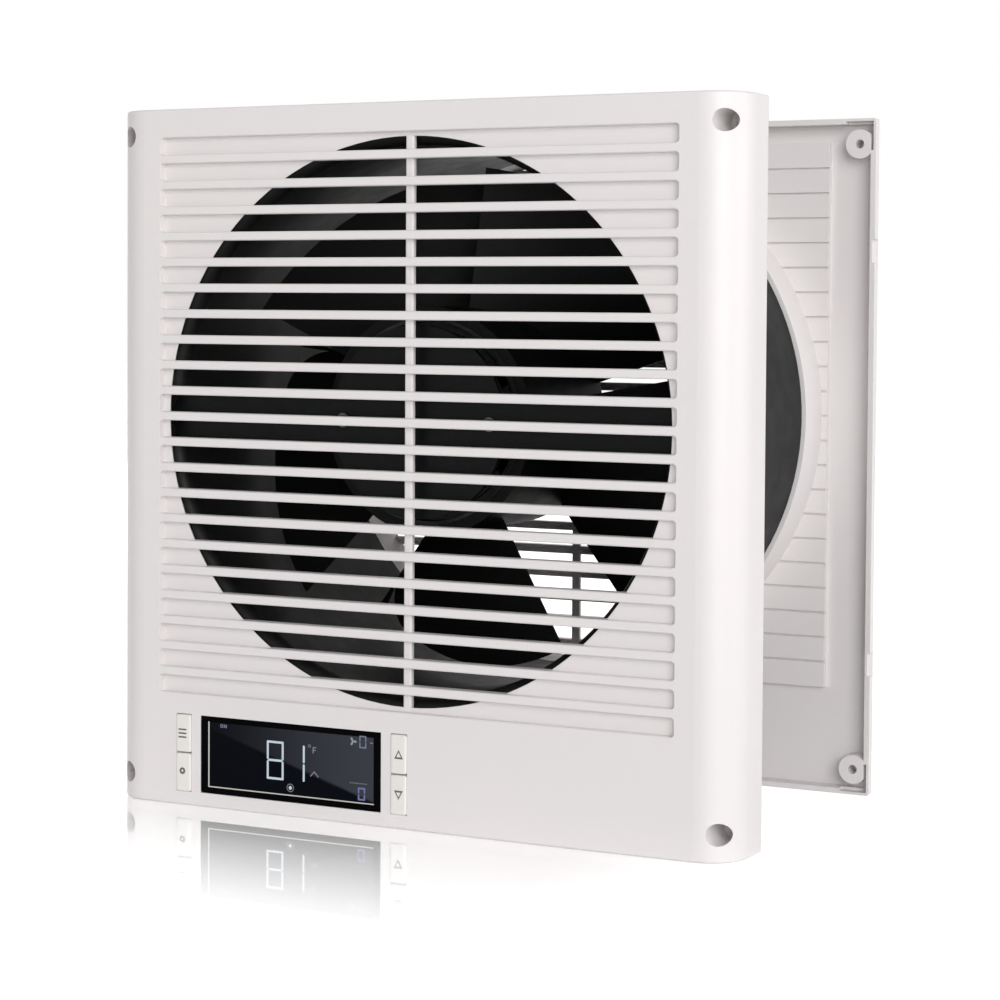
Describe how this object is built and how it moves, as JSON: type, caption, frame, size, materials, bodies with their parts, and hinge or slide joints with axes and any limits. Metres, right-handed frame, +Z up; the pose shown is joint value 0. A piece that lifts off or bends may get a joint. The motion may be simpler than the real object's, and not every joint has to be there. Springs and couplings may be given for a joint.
{
  "type": "room to room fan",
  "caption": "Through-wall room to room fan: two white louvred panels joined by a telescopic duct, with an axial impeller, a display and side buttons.",
  "frame": {"origin": "bottom centre of the whole fan, standing on the lower edges of its two panels", "axes": "+X to the right along the front panel, +Y from the front panel through the wall, +Z up"},
  "size_m": [0.283, 0.1668, 0.29],
  "materials": {
    "shell_white": "satin moulded ABS",
    "button_white": "satin moulded ABS",
    "lens_smoke": "polished smoked acrylic",
    "lcd_glass": "polarised glass",
    "board_green": "solder mask",
    "screw_steel": "zinc plated",
    "screw_black": "black oxide",
    "switch_black": "moulded",
    "duct_black": "satin moulded",
    "bracket_grey": "powder coat",
    "cast_aluminium": "die cast",
    "bearing_steel": "ground",
    "lamination": "stacked sheet",
    "copper_wire": "enamelled copper",
    "cup_steel": "black deep drawn steel",
    "ferrite": "sintered",
    "impeller_black": "satin moulded",
    "lead_black": "sleeved"
  },
  "bodies": {
    "front_unit": {"front_panel": "shell_white", "display_lens": "lens_smoke", "lcd_module": "lcd_glass", "control_board": "board_green", "motor_board": "board_green", "board_screws": "screw_steel", "duct_screws": "screw_steel", "bracket_screws": "screw_black", "motor_screws": "screw_black", "tact_switches": "switch_black", "front_duct": "duct_black", "motor_bracket": "bracket_grey", "motor_base": "cast_aluminium", "front_bearing": "bearing_steel", "rear_bearing": "bearing_steel", "stator_core": "lamination", "stator_coils": "copper_wire", "power_jack": "switch_black", "motor_lead": "lead_black"},
    "rotor": {"impeller": "impeller_black", "rotor_cup": "cup_steel", "magnet_ring": "ferrite", "motor_shaft": "bearing_steel", "shaft_clip": "screw_steel", "impeller_nut": "screw_steel"},
    "rear_unit": {"rear_panel": "shell_white", "rear_duct": "duct_black"},
    "button_menu": {"button_menu": "button_white"},
    "button_settings": {"button_settings": "button_white"},
    "button_up": {"button_up": "button_white"},
    "button_down": {"button_down": "button_white"}
  },
  "joints": [
    {"name": "impeller_spin", "type": "hinge", "parent": "front_unit", "child": "rotor", "pos_m": [0, 0, 0.1625], "axis": [0, 1, 0], "continuous": true},
    {"name": "duct_slide", "type": "slide", "parent": "front_unit", "child": "rear_unit", "axis": [0, 1, 0], "range_m": [-0.025, 0.038]},
    {"name": "button_menu_press", "type": "slide", "parent": "front_unit", "child": "button_menu", "axis": [0, 1, 0], "range_m": [0, 0.0006], "stiffness_N_per_m": 1500, "springref_m": -0.0005},
    {"name": "button_settings_press", "type": "slide", "parent": "front_unit", "child": "button_settings", "axis": [0, 1, 0], "range_m": [0, 0.0006], "stiffness_N_per_m": 1500, "springref_m": -0.0005},
    {"name": "button_up_press", "type": "slide", "parent": "front_unit", "child": "button_up", "axis": [0, 1, 0], "range_m": [0, 0.0006], "stiffness_N_per_m": 1500, "springref_m": -0.0005},
    {"name": "button_down_press", "type": "slide", "parent": "front_unit", "child": "button_down", "axis": [0, 1, 0], "range_m": [0, 0.0006], "stiffness_N_per_m": 1500, "springref_m": -0.0005}
  ]
}
